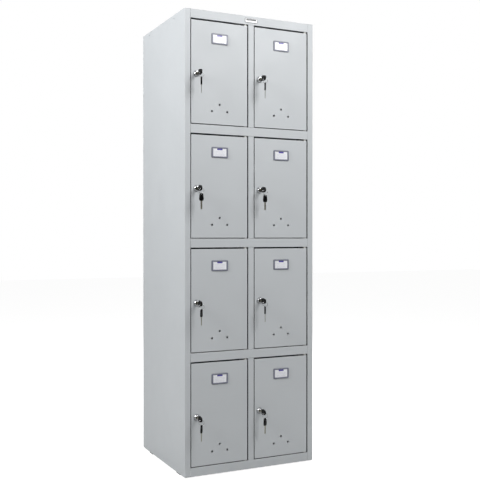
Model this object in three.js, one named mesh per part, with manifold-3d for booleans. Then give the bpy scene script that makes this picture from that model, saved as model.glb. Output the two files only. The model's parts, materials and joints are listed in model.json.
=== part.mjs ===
// Steel locker cabinet: two columns of four compartments in a folded sheet carcass, each with a flush pan
// door on two pivot pins, a cam lock with its key in it, and a spare key on a ring.
// Millimetres, +Z up, doors facing -Y. The origin is on the floor, under the middle of the bounding box.

import * as THREE from "three";
import { mergeVertices } from "three/addons/utils/BufferGeometryUtils.js";
import Module from "manifold-3d";

const wasm = await Module();
wasm.setup();

// Driving dimensions of the cabinet
const cabinetWidth = 575;
const cabinetDepth = 500;
const cabinetHeight = 1830;
const keyReach = 58; // how far the keys stand out of the front
const sheet = 0.8;
const gap = 0.3; // left between pieces that touch
const overlap = 1; // how far joined shapes run into each other, and cutters past what they cut
const foldRadius = 1.8;
const foldSteps = 2;
const roundSides = 12;
const footHeight = 5;
const rowNames = ["1", "2", "3", "4"]; // counted from the top
const columnNames = ["left", "right"];

// Front frame
const sideFlange = 24;
const mullionWidth = 25;
const railHeight = 35;
const frameReturn = 16.2; // depth of every fold behind the front plane
const rearFlange = 20;
const baseFlange = 20;

// Doors
const doorDepth = 15;
const doorLip = 7.5;
const doorGap = { left: 3, right: 5, bottom: 3, top: 6 };
const pivot = { fromEdge: 6.5, behindFace: 8, radius: 2.5, hole: 3, collar: 6, reach: 3, inside: 10 };
const vents = { radius: 3, spacing: 33, low: 54.5, high: 81.5 };
const stopLip = { depth: 12, thickness: 0.8, fromLeft: 8, fromRight: 34 };

// Lock and keys, measured from the lock's axis in the front plane
const lock = { fromLeft: 25.5, belowMiddle: 10, barrel: 9.3, hole: 10, bore: 6.5, rear: 16.4, front: 9 };
const bezel = { radius: 12, face: 8.6, rim: 4 };
const nut = { radius: 12, from: 1.1, to: 5 };
const plug = { radius: 5.8, front: 8.4, rear: 16.8 };
const cam = { front: 18.4, thickness: 2, length: 33, hub: 8, tip: 6, shaft: 3.5, screw: 4.5, screwHead: 2 };
const keyHead = {
  start: 22.5,
  length: 30.5,
  width: 18,
  top: 12,
  corner: 2,
  thickness: 3.5,
  hole: 3,
  holeAt: 26.5,
};
const keyBlade = { width: 7, thickness: 2, length: 32, point: 3 };
const ring = { radius: 10, wire: 0.7, hang: 1.5 }; // hang: below the middle of the key head's hole
const spareTurns = [[67, 63], [12, 10], [51, 61], [54, 35]]; // degrees about the vertical, row by row

// Small fittings
const holder = { width: 70, height: 41, depth: 3, corner: 3, below: 72, window: [58, 30], floor: 1 };
const plate = { width: 55, height: 18, thickness: 1, corner: 1.5 };
const foot = { length: 40, width: 18, stem: 3.6, stemHole: 4.2, stemTop: 14, fromFront: [79, 401] };

// Sizes that follow from them
const frontPlane = -(cabinetDepth - keyReach) / 2;
const half = cabinetWidth / 2;
const openingWidth = half - sideFlange - mullionWidth / 2;
const openingHeight = (cabinetHeight - footHeight - 5 * railHeight) / 4;
const doorWidth = openingWidth - doorGap.left - doorGap.right;
const doorHeight = openingHeight - doorGap.bottom - doorGap.top;
const pivotX = doorGap.left + doorWidth - pivot.fromEdge;
const backPanelFront = cabinetDepth - 2 * sheet - gap;
const plateBack = backPanelFront - gap;
const wallInside = half - sheet - gap;
const footX = half - baseFlange / 2 - sheet;
const holeAt = keyHead.start + keyHead.holeAt;

const finishes = {
  paint: { color: 0xc8ccce, roughness: 0.55, metalness: 0.1 },
  holder: { color: 0x6b6d78, roughness: 0.45, metalness: 0 },
  chrome: { color: 0xd6d8da, roughness: 0.15, metalness: 1 },
  steel: { color: 0xaeb0a8, roughness: 0.3, metalness: 1 },
  blackPlastic: { color: 0x141516, roughness: 0.4, metalness: 0 },
  whitePlate: { color: 0xe9ebec, roughness: 0.35, metalness: 0 },
  rubber: { color: 0x1c1c1c, roughness: 0.8, metalness: 0 },
};

// Turns a closed three.js geometry into a solid that can be joined and cut
function toSolid(geometry) {
  const bare = geometry.clone();
  bare.deleteAttribute("normal");
  bare.deleteAttribute("uv");
  const merged = mergeVertices(bare, 1e-4);
  return new wasm.Manifold(
    new wasm.Mesh({
      numProp: 3,
      vertProperties: new Float32Array(merged.attributes.position.array),
      triVerts: new Uint32Array(merged.index.array),
    }),
  );
}

function toGeometry(solid) {
  const mesh = solid.getMesh();
  const geometry = new THREE.BufferGeometry();
  geometry.setAttribute("position", new THREE.BufferAttribute(mesh.vertProperties, 3));
  geometry.setIndex(new THREE.BufferAttribute(mesh.triVerts, 1));
  geometry.computeVertexNormals();
  return geometry;
}

function join(solids) {
  return solids.reduce((whole, solid) => whole.add(solid));
}

function cut(whole, tools) {
  return tools.reduce((left, tool) => left.subtract(tool), whole);
}

// A box from its lowest to its highest corner
function block(low, high) {
  const size = high.map((value, i) => value - low[i]);
  const geometry = new THREE.BoxGeometry(...size);
  geometry.translate(...low.map((value, i) => value + size[i] / 2));
  return toSolid(geometry);
}

function rodAlongZ(x, y, from, to, radius, sides) {
  const geometry = new THREE.CylinderGeometry(radius, radius, to - from, sides);
  geometry.rotateX(Math.PI / 2);
  geometry.translate(x, y, (from + to) / 2);
  return toSolid(geometry);
}

function rodAlongY(x, z, from, to, radius, sides) {
  const geometry = new THREE.CylinderGeometry(radius, radius, to - from, sides);
  geometry.translate(x, (from + to) / 2, z);
  return toSolid(geometry);
}

// A shape's flat outline given a thickness: its x and y run along the first two directions, its depth along
// the third, which starts at the given distance
function slab(shape, thickness, directions, start, curveSegments = 4) {
  const settings = { depth: thickness, bevelEnabled: false, curveSegments };
  const geometry = new THREE.ExtrudeGeometry(shape, settings);
  geometry.translate(0, 0, start);
  geometry.applyMatrix4(new THREE.Matrix4().makeBasis(...directions));
  return toSolid(geometry);
}

const alongX = [new THREE.Vector3(0, 1, 0), new THREE.Vector3(0, 0, 1), new THREE.Vector3(1, 0, 0)];
const alongZ = [new THREE.Vector3(1, 0, 0), new THREE.Vector3(0, 1, 0), new THREE.Vector3(0, 0, 1)];
const forward = [new THREE.Vector3(1, 0, 0), new THREE.Vector3(0, 0, 1), new THREE.Vector3(0, -1, 0)];
const sideways = [new THREE.Vector3(0, 0, 1), new THREE.Vector3(0, -1, 0), new THREE.Vector3(1, 0, 0)];

// Section of a folded sheet: even thickness about a centre line through the corners, each a round fold
function foldedSection(corners) {
  const points = corners.map((corner) => new THREE.Vector2(...corner));
  const path = new THREE.Path();
  path.moveTo(points[0].x, points[0].y);
  for (let i = 1; i < points.length - 1; i += 1) {
    const enter = points[i - 1].clone().sub(points[i]).setLength(foldRadius).add(points[i]);
    const leave = points[i + 1].clone().sub(points[i]).setLength(foldRadius).add(points[i]);
    path.lineTo(enter.x, enter.y);
    path.quadraticCurveTo(points[i].x, points[i].y, leave.x, leave.y);
  }
  path.lineTo(points.at(-1).x, points.at(-1).y);
  const line = path.getPoints(foldSteps);
  const left = [];
  const right = [];
  line.forEach((point, i) => {
    const before = line[Math.max(i - 1, 0)];
    const after = line[Math.min(i + 1, line.length - 1)];
    const along = after.clone().sub(before).normalize();
    const across = new THREE.Vector2(-along.y, along.x).multiplyScalar(sheet / 2);
    left.push(point.clone().add(across));
    right.unshift(point.clone().sub(across));
  });
  return new THREE.Shape([...left, ...right]);
}

function roundedRectangle(width, height, corner) {
  const [x, y] = [width / 2 - corner, height / 2 - corner];
  const shape = new THREE.Shape();
  shape.absarc(x, y, corner, 0, Math.PI / 2);
  shape.absarc(-x, y, corner, Math.PI / 2, Math.PI);
  shape.absarc(-x, -y, corner, Math.PI, 1.5 * Math.PI);
  shape.absarc(x, -y, corner, 1.5 * Math.PI, 2 * Math.PI);
  return shape;
}

// Left side wall: front flange folded twice, rear flange and base flange. The right one is its mirror image.
function sidePanel(side) {
  const wall = half - sheet / 2;
  const section = [
    [-half + sideFlange - sheet / 2, frameReturn],
    [-half + sideFlange - sheet / 2, sheet / 2],
    [-wall, sheet / 2],
    [-wall, cabinetDepth - sheet / 2],
    [-half + rearFlange, cabinetDepth - sheet / 2],
  ];
  const shell = slab(foldedSection(section), cabinetHeight - footHeight, alongZ, footHeight);
  const base = block(
    [-half + sheet / 2, frameReturn + 2 * gap, footHeight],
    [-half + baseFlange, cabinetDepth - foldRadius - sheet, footHeight + sheet],
  );
  const stemHoles = foot.fromFront.map((y) =>
    rodAlongZ(-footX, y, footHeight - overlap, footHeight + sheet + overlap, foot.stemHole, 8),
  );
  const panel = cut(shell.add(base), stemHoles);
  return toGeometry(side < 0 ? panel : panel.mirror([1, 0, 0]));
}

function backPanel() {
  const side = half - sheet - foldRadius;
  return toGeometry(
    block([-side, backPanelFront, footHeight], [side, backPanelFront + sheet, cabinetHeight]),
  );
}

// Where each door's pivot stands across the cabinet
const pivotsX = columnNames.map((name, column) => openingLeft(column) + pivotX);

function openingLeft(column) {
  return column === 0 ? -half + sideFlange : mullionWidth / 2;
}

// A horizontal panel with its front rail folded down, drawn with the rail's bottom edge at z = 0. The flange
// is how far its sides and back are folded down, and the pivot holes run between the two heights. Corner tabs
// cover the ends of the side walls' front flanges.
function crossPanel({ flange, holesFrom, holesTo, stops, cornerTabs }) {
  const railHalf = half - sideFlange - gap;
  const top = railHeight;
  const lap = 6; // of the rail on the panel behind it
  const section = [
    [frameReturn, sheet / 2],
    [sheet / 2, sheet / 2],
    [sheet / 2, top - sheet / 2],
    [frameReturn + lap, top - sheet / 2],
  ];
  const pieces = [
    slab(foldedSection(section), 2 * railHalf, alongX, -railHalf),
    block([-wallInside, frameReturn + 2 * gap, top - sheet], [wallInside, plateBack, top]),
    block([-wallInside, plateBack - sheet, top - flange], [wallInside, plateBack, top]),
  ];
  for (const side of [-1, 1]) {
    const edges = [side * wallInside, side * (wallInside - sheet)].sort((a, b) => a - b);
    pieces.push(block([edges[0], frameReturn + lap - overlap, top - flange], [edges[1], plateBack, top]));
    if (cornerTabs) {
      const ends = [side * wallInside, side * (half - sideFlange + sheet + gap)].sort((a, b) => a - b);
      pieces.push(block([ends[0], sheet + foldRadius, top - sheet], [ends[1], frameReturn + lap, top]));
    }
  }
  if (stops) {
    for (const column of columnNames.keys()) {
      const left = openingLeft(column) + stopLip.fromLeft;
      const right = openingLeft(column) + openingWidth - stopLip.fromRight;
      pieces.push(
        block([left, frameReturn - stopLip.thickness, -stopLip.depth], [right, frameReturn, sheet]),
      );
    }
  }
  const holes = pivotsX.map((x) => rodAlongZ(x, pivot.behindFace, holesFrom, holesTo, pivot.hole, 10));
  return toGeometry(cut(join(pieces), holes));
}

// Mullion and dividing wall of one row, drawn with the shelf below at z = 0
function partition() {
  const side = mullionWidth / 2 - sheet / 2;
  const section = [[-side, frameReturn], [-side, sheet / 2], [side, sheet / 2], [side, frameReturn]];
  const mullion = slab(foldedSection(section), openingHeight - 2 * gap, alongZ, gap);
  const webBack = plateBack - sheet - gap;
  const web = new THREE.Shape([
    new THREE.Vector2(sheet / 2, 2 * gap),
    new THREE.Vector2(webBack, 2 * gap),
    new THREE.Vector2(webBack, openingHeight + railHeight - sheet - gap),
    new THREE.Vector2(frameReturn + 2 * gap, openingHeight + railHeight - sheet - gap),
    new THREE.Vector2(frameReturn + 2 * gap, openingHeight - 2 * gap),
    new THREE.Vector2(sheet / 2, openingHeight - 2 * gap),
  ]);
  return toGeometry(mullion.add(slab(web, sheet, alongX, -sheet / 2)));
}

// Door pan with its pivot pins and their collars, drawn from the opening's lower left corner
function doorPanel() {
  const left = doorGap.left + sheet / 2;
  const right = left + doorWidth - sheet;
  const back = doorDepth - sheet / 2;
  const low = doorGap.bottom;
  const high = low + doorHeight;
  const section = [
    [left + doorLip, back],
    [left, back],
    [left, sheet / 2],
    [right, sheet / 2],
    [right, back],
    [right - doorLip, back],
  ];
  const ends = [low, high - sheet].map((z) =>
    block([left, sheet / 2, z], [right, doorDepth, z + sheet]),
  );
  const pinReach = sheet + pivot.reach;
  const pins = [
    rodAlongZ(pivotX, pivot.behindFace, -pinReach, low + pivot.inside, pivot.radius, 8),
    rodAlongZ(pivotX, pivot.behindFace, high - pivot.inside, openingHeight + pinReach, pivot.radius, 8),
    rodAlongZ(pivotX, pivot.behindFace, gap, low + sheet, pivot.collar, 8),
    rodAlongZ(pivotX, pivot.behindFace, high - sheet, openingHeight - gap, pivot.collar, 8),
  ];
  const middle = doorGap.left + doorWidth / 2;
  const ventPlaces = [[-1, vents.low], [0, vents.high], [1, vents.low]];
  const holes = ventPlaces.map(([step, z]) =>
    rodAlongY(middle + step * vents.spacing, z, -overlap, sheet + overlap, vents.radius, 8),
  );
  const lockHeight = openingHeight / 2 - lock.belowMiddle;
  holes.push(rodAlongY(lock.fromLeft, lockHeight, -overlap, sheet + overlap, lock.hole, roundSides));
  const pan = slab(foldedSection(section), doorHeight, alongZ, low);
  return toGeometry(cut(join([pan, ...ends, ...pins]), holes));
}

// Frame for a name card, drawn about its own centre with its back just off the door
function labelHolder() {
  const outline = roundedRectangle(holder.width, holder.height, holder.corner);
  const body = slab(outline, holder.depth, forward, gap, 2);
  const [width, height] = holder.window;
  const window = block(
    [-width / 2, -holder.depth - overlap, -height / 2],
    [width / 2, -gap - holder.floor, height / 2],
  );
  return toGeometry(cut(body, [window]));
}

// Bezel, threaded barrel and its nut, turned about the lock's axis
function lockBody() {
  const profile = [
    [lock.bore, -lock.front],
    [bezel.face, -lock.front],
    [bezel.radius, -bezel.rim],
    [bezel.radius, -gap],
    [lock.barrel, -gap],
    [lock.barrel, nut.from],
    [nut.radius, nut.from],
    [nut.radius, nut.to],
    [lock.barrel, nut.to],
    [lock.barrel, lock.rear],
    [lock.bore, lock.rear],
    [lock.bore, -lock.front],
  ];
  return new THREE.LatheGeometry(profile.map((point) => new THREE.Vector2(...point)), roundSides);
}

function keyHeadShape() {
  const { width, top, length, corner, hole, holeAt: holeHeight } = keyHead;
  const shape = new THREE.Shape();
  shape.moveTo(width / 2 - corner, 0);
  shape.quadraticCurveTo(width / 2, 0, width / 2, corner);
  shape.absarc(0, length - top / 2, top / 2, 0, Math.PI);
  shape.lineTo(-width / 2, corner);
  shape.quadraticCurveTo(-width / 2, 0, corner - width / 2, 0);
  shape.holes.push(new THREE.Path().absarc(0, holeHeight, hole, 0, 2 * Math.PI, true));
  return shape;
}

function keyBladeShape(length) {
  const side = keyBlade.width / 2;
  return new THREE.Shape([
    new THREE.Vector2(side, overlap),
    new THREE.Vector2(-side, overlap),
    new THREE.Vector2(-side, keyBlade.point - length),
    new THREE.Vector2(-side / 3, -length),
    new THREE.Vector2(side / 3, -length),
    new THREE.Vector2(side, keyBlade.point - length),
  ]);
}

// The tail of the cam lock: a round hub with an arm that hangs straight down while unlocked
function camShape() {
  const shape = new THREE.Shape();
  shape.absarc(0, 0, cam.hub, 0, Math.PI);
  shape.lineTo(-cam.tip, -cam.length);
  shape.lineTo(cam.tip, -cam.length);
  return shape;
}

// Plug, cam and the key in the plug, which turn as one
function lockCore() {
  const headThickness = keyHead.thickness;
  const camBack = cam.front + cam.thickness;
  const bladeLength = keyHead.start - plug.front + overlap;
  const pieces = [
    rodAlongY(0, 0, -plug.front, plug.rear, plug.radius, roundSides),
    block([-cam.shaft, plug.rear - overlap, -cam.shaft], [cam.shaft, camBack, cam.shaft]),
    slab(camShape(), cam.thickness, forward, -camBack, 6),
    rodAlongY(0, 0, camBack - overlap, camBack + cam.screwHead, cam.screw, 6),
    slab(keyHeadShape(), headThickness, sideways, -headThickness / 2).translate([0, -keyHead.start, 0]),
    slab(keyBladeShape(bladeLength), keyBlade.thickness, sideways, -keyBlade.thickness / 2)
      .translate([0, -keyHead.start, 0]),
  ];
  return toGeometry(join(pieces));
}

// Split ring with the spare key on it, drawn from the hole in the first key's head that it hangs in
function spareKey(turn) {
  const hoop = new THREE.TorusGeometry(ring.radius, ring.wire, 6, 16);
  hoop.rotateX(Math.PI / 2);
  hoop.translate(0, 0, -ring.hang - ring.radius);
  const thickness = keyHead.thickness;
  const rest = ring.hang + 2 * ring.radius + keyHead.hole - ring.wire;
  const key = join([
    slab(keyHeadShape(), thickness, forward, -thickness / 2),
    slab(keyBladeShape(keyBlade.length), keyBlade.thickness, forward, -keyBlade.thickness / 2),
  ]);
  const hung = key.rotate([0, 0, turn]).translate([0, 0, -rest - keyHead.holeAt]);
  return toGeometry(toSolid(hoop).add(hung));
}

function namePlate() {
  return toGeometry(
    slab(roundedRectangle(plate.width, plate.height, plate.corner), plate.thickness, forward, gap, 2),
  );
}

// Pad under a side wall with its push-in stem
function footPad() {
  const pad = block(
    [-foot.width / 2, -foot.length / 2, 0],
    [foot.width / 2, foot.length / 2, footHeight - gap],
  );
  return toGeometry(pad.add(rodAlongZ(0, 0, footHeight - gap - overlap, foot.stemTop, foot.stem, 8)));
}

function addPiece(parent, name, geometry, finish, position = [0, 0, 0]) {
  const mesh = new THREE.Mesh(geometry, new THREE.MeshStandardMaterial(finishes[finish]));
  mesh.name = name;
  mesh.position.set(...position);
  parent.add(mesh);
  return mesh;
}

const locker = new THREE.Group();
const cabinet = new THREE.Group();
cabinet.position.y = frontPlane;
locker.add(cabinet);

addPiece(cabinet, "left_side_panel", sidePanel(-1), "paint");
addPiece(cabinet, "right_side_panel", sidePanel(1), "paint");
addPiece(cabinet, "back_panel", backPanel(), "paint");

const rowPitch = openingHeight + railHeight;
const railBottom = (index) => footHeight + index * rowPitch; // counted up from the floor
const flangeDepth = 12;
const lowHole = { holesFrom: -overlap, holesTo: sheet + overlap };
const highHole = { holesFrom: railHeight - sheet - overlap, holesTo: railHeight + overlap };
const bothHoles = { holesFrom: -overlap, holesTo: railHeight + overlap };
const top = crossPanel({ flange: flangeDepth, ...lowHole, stops: true, cornerTabs: true });
const shelf = crossPanel({ flange: flangeDepth, ...bothHoles, stops: true, cornerTabs: false });
const bottom = crossPanel({ flange: railHeight - 2 * sheet, ...highHole, stops: false, cornerTabs: false });
addPiece(cabinet, "top_panel", top, "paint", [0, 0, railBottom(4)]);
for (const index of [1, 2, 3]) {
  addPiece(cabinet, `shelf_${index}`, shelf, "paint", [0, 0, railBottom(4 - index)]);
}
addPiece(cabinet, "bottom_panel", bottom, "paint", [0, 0, railBottom(0)]);

const plateHeight = railBottom(4) + railHeight / 2;
addPiece(cabinet, "name_plate", namePlate(), "whitePlate", [0, 0, plateHeight]);

for (const [sideName, x] of [["left", -footX], ["right", footX]]) {
  for (const [endName, y] of [["front", foot.fromFront[0]], ["back", foot.fromFront[1]]]) {
    addPiece(cabinet, `foot_${endName}_${sideName}`, footPad(), "rubber", [x, y, 0]);
  }
}

const wall = partition();
const door = doorPanel();
const cardHolder = labelHolder();
const body = lockBody();
const core = lockCore();
for (const [row, rowName] of rowNames.entries()) {
  const floor = railBottom(3 - row) + railHeight;
  addPiece(cabinet, `partition_${rowName}`, wall, "paint", [0, 0, floor]);
  for (const [column, columnName] of columnNames.entries()) {
    const place = `${rowName}_${columnName}`;
    const opening = new THREE.Group();
    opening.position.set(openingLeft(column), 0, floor);
    cabinet.add(opening);
    addPiece(opening, `door_${place}`, door, "paint");
    const holderPlace = [doorGap.left + doorWidth / 2, 0, openingHeight - holder.below];
    addPiece(opening, `card_holder_${place}`, cardHolder, "holder", holderPlace);

    const lockGroup = new THREE.Group();
    lockGroup.position.set(lock.fromLeft, 0, openingHeight / 2 - lock.belowMiddle);
    opening.add(lockGroup);
    addPiece(lockGroup, `lock_body_${place}`, body, "chrome");
    addPiece(lockGroup, `lock_core_${place}`, core, "blackPlastic");
    const spare = spareKey(spareTurns[row][column]);
    addPiece(lockGroup, `spare_key_${place}`, spare, "steel", [0, -holeAt, 0]);
  }
}

export default locker;
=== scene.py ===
import json
import math

import bmesh
import bpy
from mathutils import Matrix, Vector


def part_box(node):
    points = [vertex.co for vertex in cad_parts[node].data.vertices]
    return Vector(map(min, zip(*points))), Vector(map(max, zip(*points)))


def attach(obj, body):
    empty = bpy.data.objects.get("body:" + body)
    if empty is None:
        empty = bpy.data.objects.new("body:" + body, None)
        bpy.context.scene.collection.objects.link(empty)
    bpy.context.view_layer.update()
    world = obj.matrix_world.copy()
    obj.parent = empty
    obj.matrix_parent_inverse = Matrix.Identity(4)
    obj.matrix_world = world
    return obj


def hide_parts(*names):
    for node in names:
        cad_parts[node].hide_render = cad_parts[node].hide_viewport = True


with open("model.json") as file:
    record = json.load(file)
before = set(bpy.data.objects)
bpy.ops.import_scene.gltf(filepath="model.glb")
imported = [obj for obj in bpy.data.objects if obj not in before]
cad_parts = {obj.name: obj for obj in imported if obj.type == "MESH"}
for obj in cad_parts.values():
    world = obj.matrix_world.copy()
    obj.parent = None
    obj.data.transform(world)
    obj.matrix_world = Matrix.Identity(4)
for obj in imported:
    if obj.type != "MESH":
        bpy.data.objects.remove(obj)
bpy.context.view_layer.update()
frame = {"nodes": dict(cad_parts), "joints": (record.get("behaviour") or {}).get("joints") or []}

scene = bpy.context.scene
mm = 0.001
past = 1  # how far a cutter reaches past what it cuts, in millimetres
rowNames = ("1", "2", "3", "4")  # counted from the top
columnNames = ("left", "right")
print("frame loaded")


studio = {
    "cameraPlace": (-1.4151, -3.0640, 0.9474),
    "cameraHeading": -25.65,  # degrees, to the right of straight ahead
    "cameraTilt": -0.33,
    "lens": 59.01,
    "ambient": 0.17,
    "reflectedLow": 0.0,
    "reflectedHigh": 0.5,
    "floorColour": "b4b4b3",
    "floorGlow": 0.88,
    "floorReach": 14,
    "lights": [  # name, place, aim, size, watts
        ("softKey", (0.9, -2.3, 2.75), (0, -0.22, 1.5), 1.3, 55),
        ("sideFill", (-2.6, -0.5, 2.7), (-0.28, 0, 1.3), 1.6, 96),
        ("backFill", (1.6, 2.9, 2.6), (0, 0.28, 1.2), 2.0, 80),
    ],
}


def linear(hexColour):
    levels = [int(hexColour[i:i + 2], 16) / 255 for i in (0, 2, 4)]
    return [v / 12.92 if v <= 0.04045 else ((v + 0.055) / 1.055) ** 2.4 for v in levels] + [1.0]


def makeCamera(values):
    data = bpy.data.cameras.new("camera")
    data.sensor_width = 36
    data.lens = values["lens"]
    camera = bpy.data.objects.new("camera", data)
    camera.location = values["cameraPlace"]
    tilt, heading = math.radians(90 + values["cameraTilt"]), math.radians(values["cameraHeading"])
    camera.rotation_euler = (tilt, 0, heading)
    scene.collection.objects.link(camera)
    scene.camera = camera


def makeLights(values):
    for name, place, aim, size, watts in values["lights"]:
        data = bpy.data.lights.new(name, "AREA")
        data.size = size
        data.energy = watts
        lamp = bpy.data.objects.new(name, data)
        lamp.location = place
        direction = Vector(aim) - Vector(place)
        lamp.rotation_euler = direction.to_track_quat("-Z", "Y").to_euler()
        scene.collection.objects.link(lamp)
    scene.view_settings.view_transform = "Standard"


def makeRoom(values):
    # a white backdrop to look at, a dim even fill to light by, and a dark room with a pale ceiling
    # to reflect
    world = bpy.data.worlds.new("paleRoom")
    world.use_nodes = True
    tree = world.node_tree
    background = tree.nodes["Background"]
    rays = addNode(tree, "ShaderNodeLightPath").outputs
    direction = addNode(tree, "ShaderNodeTexCoord").outputs["Generated"]
    height = addNode(tree, "ShaderNodeSeparateXYZ", {"Vector": direction}).outputs["Z"]
    ceiling = addNode(
        tree, "ShaderNodeMapRange",
        {"Value": height, "From Min": 0.25, "From Max": 0.9,
         "To Min": values["reflectedLow"], "To Max": values["reflectedHigh"]},
    ).outputs["Result"]
    shine = addNode(
        tree, "ShaderNodeMix",
        {"Factor": rays["Is Glossy Ray"], "A": values["ambient"], "B": ceiling},
    ).outputs["Result"]
    strength = addNode(
        tree, "ShaderNodeMix", {"Factor": rays["Is Camera Ray"], "A": shine, "B": 1.0},
    ).outputs["Result"]
    background.inputs["Color"].default_value = (1, 1, 1, 1)
    tree.links.new(strength, background.inputs["Strength"])
    scene.world = world


def addNode(tree, kind, inputs=None, **settings):
    node = tree.nodes.new(kind)
    for name, value in settings.items():
        setattr(node, name, value)
    for name, value in (inputs or {}).items():
        if isinstance(value, bpy.types.NodeSocket):
            tree.links.new(value, node.inputs[name])
        else:
            node.inputs[name].default_value = value
    return node


makeCamera(studio)
makeLights(studio)
makeRoom(studio)
print("camera and lights placed")


def newMaterial(name, hexColour, **sockets):
    material = bpy.data.materials.new(name)
    material.use_nodes = True
    tree = material.node_tree
    shader = tree.nodes["Principled BSDF"]
    shader.inputs["Base Color"].default_value = linear(hexColour)
    for socket, value in sockets.items():
        shader.inputs[socket.replace("_", " ")].default_value = value
    return material, tree, shader


def addRelief(tree, shader, vector, grain, depth, strength):
    # grain and depth are real sizes in millimetres
    noise = addNode(
        tree, "ShaderNodeTexNoise", {"Vector": vector, "Scale": 1 / (grain * mm), "Detail": 2.0},
    )
    bump = addNode(
        tree, "ShaderNodeBump",
        {"Height": noise.outputs["Fac"], "Strength": strength, "Distance": depth * mm},
    )
    tree.links.new(bump.outputs["Normal"], shader.inputs["Normal"])


def addVariation(tree, shader, vector, patch, socket, low, high):
    # a slow drift between two values, or between two hex colours, over patches of that size in millimetres
    noise = addNode(
        tree, "ShaderNodeTexNoise", {"Vector": vector, "Scale": 1 / (patch * mm), "Detail": 3.0},
    ).outputs["Fac"]
    if isinstance(low, str):
        drift = addNode(
            tree, "ShaderNodeMixRGB", {"Fac": noise, "Color1": linear(low), "Color2": linear(high)},
        ).outputs["Color"]
    else:
        # nearly all of the noise lies between 0.3 and 0.7
        drift = addNode(
            tree, "ShaderNodeMapRange",
            {"Value": noise, "From Min": 0.3, "From Max": 0.7, "To Min": low, "To Max": high},
        ).outputs["Result"]
    tree.links.new(drift, shader.inputs[socket])


def powderCoat():
    # light grey polyester powder coat, sprayed and baked: even and satin, with a fine orange peel;
    # shade is painted into the colour where another surface is a few millimetres away, so seams, gaps and
    # inner corners are darker
    material, tree, shader = newMaterial("powder_coat_light_grey", "c6cacd", IOR=1.5)
    place = addNode(tree, "ShaderNodeTexCoord").outputs["Object"]
    noise = addNode(tree, "ShaderNodeTexNoise", {"Vector": place, "Scale": 1 / (260 * mm), "Detail": 3.0})
    coat = addNode(
        tree, "ShaderNodeMixRGB",
        {"Fac": noise.outputs["Fac"], "Color1": linear("c3c7ca"), "Color2": linear("c9cdd0")},
    ).outputs["Color"]
    # painted shade: the colour runs towards near black wherever another surface lies within 9 mm
    openness = addNode(tree, "ShaderNodeAmbientOcclusion", {"Distance": 9 * mm}, samples=6).outputs["AO"]
    unshaded = addNode(
        tree, "ShaderNodeMapRange",
        {"Value": openness, "From Min": 0.2, "From Max": 0.8, "To Min": 0.0, "To Max": 1.0},
    ).outputs["Result"]
    seamShade = addNode(tree, "ShaderNodeMixRGB", {"Fac": unshaded, "Color1": linear("1e1f20"), "Color2": coat})
    tree.links.new(seamShade.outputs["Color"], shader.inputs["Base Color"])
    addVariation(tree, shader, place, 90, "Roughness", 0.40, 0.50)
    # real orange peel is about 1 mm across; drawn 2 mm so that it shows
    addRelief(tree, shader, place, grain=2, depth=0.12, strength=0.12)
    return material


def chromePlate():
    # polished nickel and chrome on a zinc die casting: mirror bright, a little soft from handling
    material, tree, shader = newMaterial("chrome_plate_polished", "c4c5c7", Metallic=1.0)
    place = addNode(tree, "ShaderNodeTexCoord").outputs["Object"]
    addVariation(tree, shader, place, 3, "Roughness", 0.03, 0.08)
    addRelief(tree, shader, place, grain=1.5, depth=0.01, strength=0.1)
    return material


def zincPlate():
    # bright zinc plate on pressed steel: greyer than chrome, mottled
    material, tree, shader = newMaterial("zinc_plate_bright", "b9bcbe", Metallic=1.0)
    place = addNode(tree, "ShaderNodeTexCoord").outputs["Object"]
    addVariation(tree, shader, place, 2.5, "Base Color", "aeb2b4", "c6c8c9")
    addVariation(tree, shader, place, 4, "Roughness", 0.25, 0.42)
    return material


def keyMetal():
    # nickel silver blank with milled cuts: a warm grey with fine lengthwise scratches
    material, tree, shader = newMaterial("nickel_silver_milled", "b4b19c", Metallic=1.0)
    place = addNode(tree, "ShaderNodeTexCoord").outputs["Object"]
    stretch = addNode(tree, "ShaderNodeMapping", {"Vector": place, "Scale": (1.0, 1.0, 0.08)})
    addVariation(tree, shader, stretch.outputs["Vector"], 0.8, "Roughness", 0.24, 0.44)
    addVariation(tree, shader, place, 6, "Base Color", "a9a690", "bcb9a6")
    return material


def wireSteel():
    # hardened spring wire, nickel plated
    material, tree, shader = newMaterial("nickel_plated_wire", "c9cacb", Metallic=1.0)
    place = addNode(tree, "ShaderNodeTexCoord").outputs["Object"]
    addVariation(tree, shader, place, 3, "Roughness", 0.16, 0.3)
    return material


def mouldedBlack():
    # injection moulded ABS: near black, with a fine spark-eroded grain that breaks up the shine
    material, tree, shader = newMaterial("abs_black_moulded", "060607", IOR=1.47, Specular_IOR_Level=0.18)
    place = addNode(tree, "ShaderNodeTexCoord").outputs["Object"]
    addVariation(tree, shader, place, 5, "Roughness", 0.3, 0.4)
    addRelief(tree, shader, place, grain=0.5, depth=0.04, strength=0.25)
    return material


def mouldedGrey():
    # injection moulded styrene in a violet grey: smooth, half matt
    material, tree, shader = newMaterial("styrene_violet_grey", "7a7d8c", IOR=1.55)
    place = addNode(tree, "ShaderNodeTexCoord").outputs["Object"]
    addVariation(tree, shader, place, 20, "Base Color", "757887", "7f8291")
    addVariation(tree, shader, place, 8, "Roughness", 0.3, 0.4)
    addRelief(tree, shader, place, grain=0.6, depth=0.03, strength=0.15)
    return material


def foamBlack():
    # closed-cell foam tape: dead matt and slightly pitted; its black also stands in for the painted shade
    # in the gaps above the doors
    material, tree, shader = newMaterial("foam_tape_black", "0e0e0f", IOR=1.45, Roughness=0.95)
    place = addNode(tree, "ShaderNodeTexCoord").outputs["Object"]
    addVariation(tree, shader, place, 3, "Base Color", "0b0b0c", "161617")
    addRelief(tree, shader, place, grain=0.8, depth=0.1, strength=0.5)
    return material


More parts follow.
